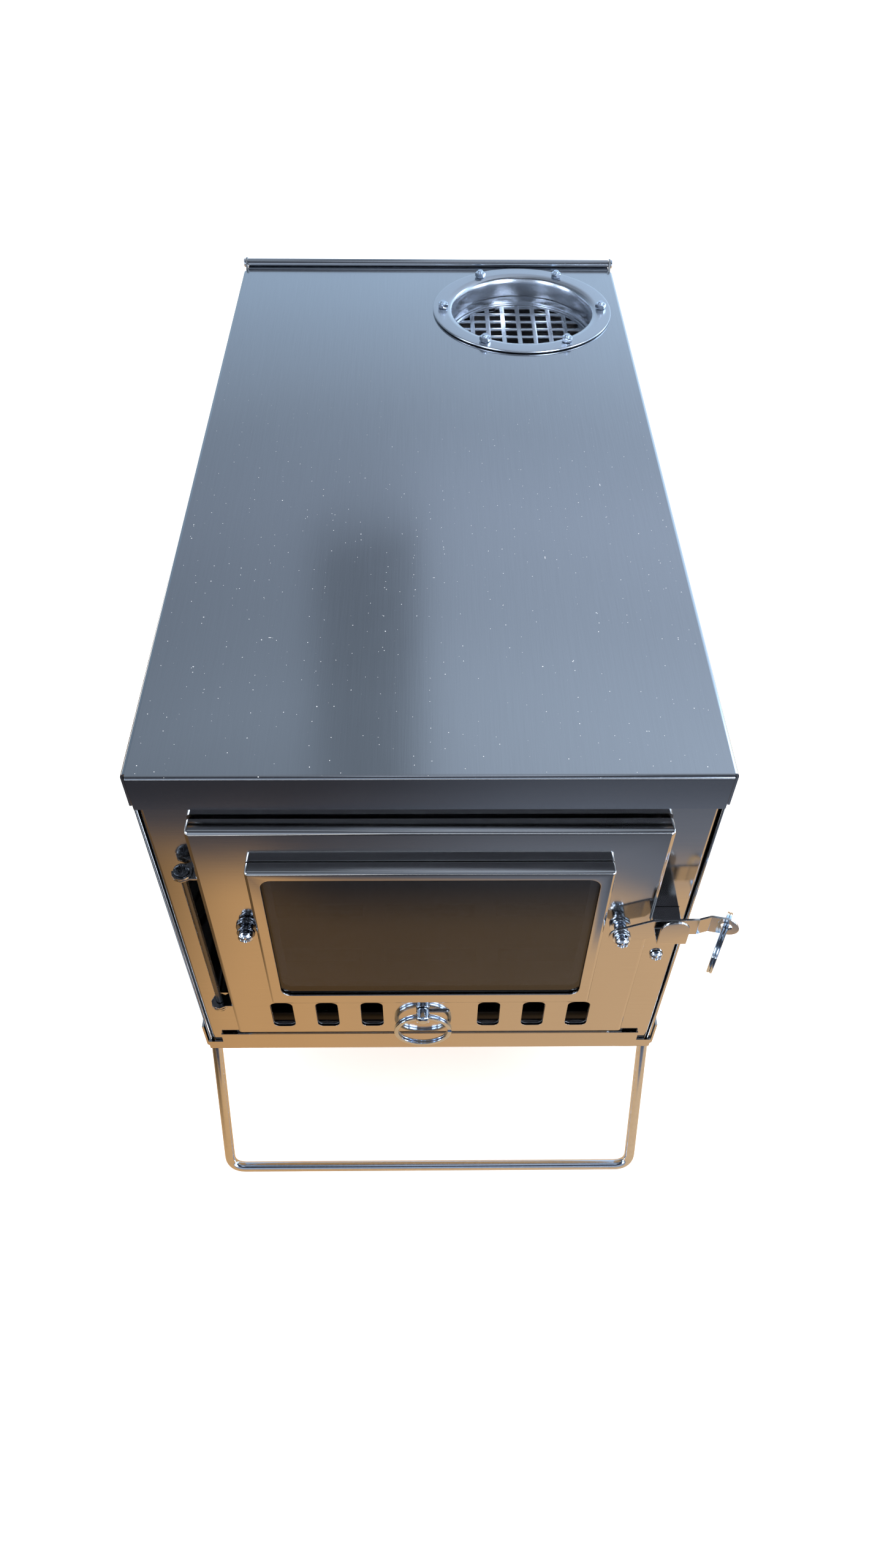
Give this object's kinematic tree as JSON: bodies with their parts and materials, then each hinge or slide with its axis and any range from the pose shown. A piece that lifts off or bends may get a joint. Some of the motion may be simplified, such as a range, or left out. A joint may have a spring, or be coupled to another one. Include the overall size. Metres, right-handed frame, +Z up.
{
  "type": "folding tent wood stove",
  "caption": "Folding sheet-steel tent stove with a glazed fire door, sliding air damper, lever latch, lift-up lid with a flue collar and spark screen, and fold-out wire legs.",
  "frame": {"origin": "centre of the whole stove's bounding box, on the ground that the wire legs stand on", "axes": "+X towards the latch side, -Y out of the fire door, +Z up"},
  "size_m": [0.2466, 0.4808, 0.315],
  "materials": {
    "panel_steel": "satin stainless sheet",
    "top_steel": "satin stainless sheet, blue-gray",
    "bright_hardware": "bright plated",
    "black_hardware": "blackened",
    "window": "smoked heat-proof glass",
    "fibre": "woven glass fibre seal"
  },
  "bodies": {
    "root": {"bottom_tray": "panel_steel", "side_panel_left": "panel_steel", "side_panel_right": "panel_steel", "front_frame": "panel_steel", "rear_panel": "panel_steel", "fire_grate": "panel_steel", "lid_hinge_pin": "panel_steel", "door_hinge_pin": "bright_hardware", "door_hinge_nut": "black_hardware", "latch_catch": "panel_steel", "catch_screw": "bright_hardware", "catch_nut": "bright_hardware", "front_leg_clip_left": "panel_steel", "front_leg_clip_right": "panel_steel", "rear_leg_clip_left": "panel_steel", "rear_leg_clip_right": "panel_steel"},
    "door": {"door_panel": "panel_steel", "window_frame": "panel_steel", "window_glass": "window", "glass_gasket": "fibre", "glass_retainer": "panel_steel", "window_screw": "bright_hardware", "latch_pivot_screw": "bright_hardware", "clamp_washer_left": "bright_hardware", "clamp_washer_right": "bright_hardware", "clamp_sleeve_left": "bright_hardware", "clamp_sleeve_right": "bright_hardware", "outer_washer_left": "bright_hardware", "outer_washer_right": "bright_hardware", "spring_washer_left": "bright_hardware", "spring_washer_right": "bright_hardware", "clamp_nut_left": "bright_hardware", "clamp_nut_right": "bright_hardware", "damper_rail_upper": "panel_steel", "damper_rail_lower": "panel_steel"},
    "damper": {"damper_plate": "panel_steel", "damper_knob": "bright_hardware"},
    "damper_ring": {"damper_ring": "bright_hardware"},
    "latch": {"latch_lever": "panel_steel"},
    "latch_ring": {"latch_ring": "bright_hardware"},
    "lid": {"lid": "top_steel", "flue_collar": "panel_steel", "spark_basket": "panel_steel", "spark_grid": "panel_steel", "flue_stud_1": "bright_hardware", "flue_stud_2": "bright_hardware", "flue_stud_3": "bright_hardware", "flue_stud_4": "bright_hardware", "flue_stud_5": "bright_hardware", "flue_stud_6": "bright_hardware", "flue_nut_1": "bright_hardware", "flue_nut_2": "bright_hardware", "flue_nut_3": "bright_hardware", "flue_nut_4": "bright_hardware", "flue_nut_5": "bright_hardware", "flue_nut_6": "bright_hardware"},
    "front_leg": {"front_leg": "bright_hardware"},
    "rear_leg": {"rear_leg": "bright_hardware"}
  },
  "joints": [
    {"name": "door_swing", "type": "hinge", "parent": "root", "child": "door", "pos_m": [-0.10785, -0.2145, 0.20183], "axis": [0, 0, -1], "range_deg": [0, 120]},
    {"name": "latch_lift", "type": "hinge", "parent": "door", "child": "latch", "pos_m": [0.07395, -0.2234, 0.22048], "axis": [0, -1, 0], "range_deg": [0, 50]},
    {"name": "latch_ring_swing", "type": "hinge", "parent": "latch", "child": "latch_ring", "pos_m": [0.11635, -0.22486, 0.23023], "axis": [-0.4384, -0.8988, 0], "range_deg": [-15, 60]},
    {"name": "damper_slide", "type": "slide", "parent": "door", "child": "damper", "axis": [1, 0, 0], "range_m": [0, 0.0108]},
    {"name": "damper_ring_swing", "type": "hinge", "parent": "damper", "child": "damper_ring", "pos_m": [-0.01085, -0.2211, 0.14608], "axis": [-1, 0, 0], "range_deg": [0, 120]},
    {"name": "lid_open", "type": "hinge", "parent": "root", "child": "lid", "pos_m": [-0.00725, 0.214, 0.31108], "axis": [-1, 0, 0], "range_deg": [0, 100]},
    {"name": "front_leg_fold", "type": "hinge", "parent": "root", "child": "front_leg", "pos_m": [-0.00725, -0.2019, 0.09003], "axis": [1, 0, 0], "range_deg": [0, 112]},
    {"name": "rear_leg_fold", "type": "hinge", "parent": "root", "child": "rear_leg", "pos_m": [-0.00725, 0.2019, 0.09003], "axis": [-1, 0, 0], "range_deg": [0, 112]}
  ]
}
